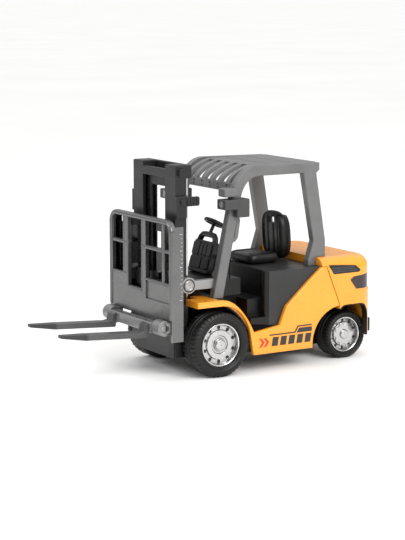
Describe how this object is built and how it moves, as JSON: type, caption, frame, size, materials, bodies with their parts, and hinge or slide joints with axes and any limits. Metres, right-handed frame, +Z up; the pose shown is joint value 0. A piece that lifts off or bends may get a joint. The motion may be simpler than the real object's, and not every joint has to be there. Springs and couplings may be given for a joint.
{
  "type": "toy forklift truck",
  "caption": "Toy counterbalance forklift with rolling wheels, tilting mast, lifting carriage and forks that fold up.",
  "frame": {"origin": "on the ground at the middle of the footprint, between fork tips and rear bumper", "axes": "+Z up, forks point along -Y, +X is the driver's left side"},
  "size_m": [0.0846, 0.2206, 0.1302],
  "materials": {
    "tyre_rubber": "moulded rubber with fine ribs",
    "wheel_chrome": "vacuum-plated silver",
    "rod_chrome": "polished",
    "steel": "plain",
    "pin_silver": "satin silver paint",
    "gear_nylon": "natural nylon",
    "chassis_black": "fine moulded texture",
    "body_orange": "satin gloss",
    "vent_black": "satin",
    "lamp_smoke": "smoked, glossy",
    "cab_grey": "fine moulded texture",
    "cab_black": "satin",
    "seat_black": "moulded, semi-matt",
    "guard_grey": "satin",
    "lamp_grey": "satin",
    "lens_clear": "clear",
    "mast_grey": "satin",
    "rail_black": "satin",
    "cage_grey": "satin silver-grey",
    "carriage_grey": "satin",
    "fork_grey": "satin"
  },
  "bodies": {
    "chassis": {"base_screws": "steel", "cab_tub": "cab_grey", "chassis_base": "chassis_black", "control_levers": "cab_black", "counterweight": "body_orange", "dash_console": "cab_black", "drive_cover": "chassis_black", "front_wheel_liners": "chassis_black", "grab_handles": "guard_grey", "guard_side_left": "guard_grey", "guard_side_right": "guard_grey", "head_lamp_lenses": "lens_clear", "head_lamps": "lamp_grey", "rear_bumper": "chassis_black", "rear_inner_frame": "chassis_black", "roof_panel": "guard_grey", "seat_back": "seat_black", "seat_cushion": "seat_black", "side_panel_left": "body_orange", "side_panel_right": "body_orange", "side_vents": "vent_black", "tail_lamps": "lamp_smoke", "tilt_arms": "guard_grey", "turn_lamps": "guard_grey"},
    "front_wheels": {"front_axle": "steel", "drive_gear": "gear_nylon", "front_tyre_left": "tyre_rubber", "front_tyre_right": "tyre_rubber", "front_rims": "wheel_chrome", "front_hub_caps": "wheel_chrome"},
    "flywheel": {"flywheel": "steel", "flywheel_shaft": "steel", "flywheel_pinion": "gear_nylon"},
    "rear_wheels": {"rear_axle": "steel", "rear_tyre_left": "tyre_rubber", "rear_tyre_right": "tyre_rubber", "rear_rims": "wheel_chrome", "rear_hub_caps": "wheel_chrome"},
    "steering": {"steering_wheel": "cab_black", "steering_column": "cab_black"},
    "mast": {"mast_top_beam": "mast_grey", "mast_foot_plate": "mast_grey", "mast_post_left": "mast_grey", "mast_post_right": "mast_grey", "lift_rods": "rod_chrome", "lift_cylinders": "rail_black", "mast_stops": "mast_grey", "tilt_pins": "pin_silver"},
    "inner_mast": {"inner_crosshead": "rail_black", "chain_roller_pin": "steel", "inner_rails": "rail_black"},
    "carriage": {"load_backrest": "cage_grey", "lift_carriage": "rail_black", "carriage_guides": "carriage_grey", "hinge_lugs": "cage_grey"},
    "forks": {"fork_crossbar": "cage_grey", "fork_left": "fork_grey", "fork_right": "fork_grey", "fork_hinge_pins": "steel"}
  },
  "joints": [
    {"name": "mast_tilt", "type": "hinge", "parent": "chassis", "child": "mast", "pos_m": [0, -0.02649, 0.0568], "axis": [1, 0, 0], "range_deg": [-4, 4]},
    {"name": "carriage_lift", "type": "slide", "parent": "mast", "child": "carriage", "axis": [0, 0, 1], "range_m": [0, 0.044]},
    {"name": "inner_mast_lift", "type": "slide", "parent": "mast", "child": "inner_mast", "axis": [0, 0, 1], "range_m": [0, 0.022]},
    {"name": "fork_fold", "type": "hinge", "parent": "carriage", "child": "forks", "pos_m": [0, -0.04669, 0.033], "axis": [-1, 0, 0], "range_deg": [0, 88]},
    {"name": "front_wheels_spin", "type": "hinge", "parent": "chassis", "child": "front_wheels", "pos_m": [0, -0.01009, 0.0201], "axis": [1, 0, 0], "continuous": true},
    {"name": "flywheel_spin", "type": "hinge", "parent": "chassis", "child": "flywheel", "pos_m": [0, 0.00203, 0.0201], "axis": [1, 0, 0], "continuous": true},
    {"name": "rear_wheels_spin", "type": "hinge", "parent": "chassis", "child": "rear_wheels", "pos_m": [0, 0.08891, 0.0154], "axis": [1, 0, 0], "continuous": true},
    {"name": "steering_turn", "type": "hinge", "parent": "chassis", "child": "steering", "pos_m": [0, 0.01051, 0.0896], "axis": [0, 0.4695, 0.8829], "continuous": true}
  ],
  "couplings": [
    {"joint": "inner_mast_lift", "follows": "carriage_lift", "ratio": 0.5},
    {"joint": "flywheel_spin", "follows": "front_wheels_spin", "ratio": -2}
  ]
}
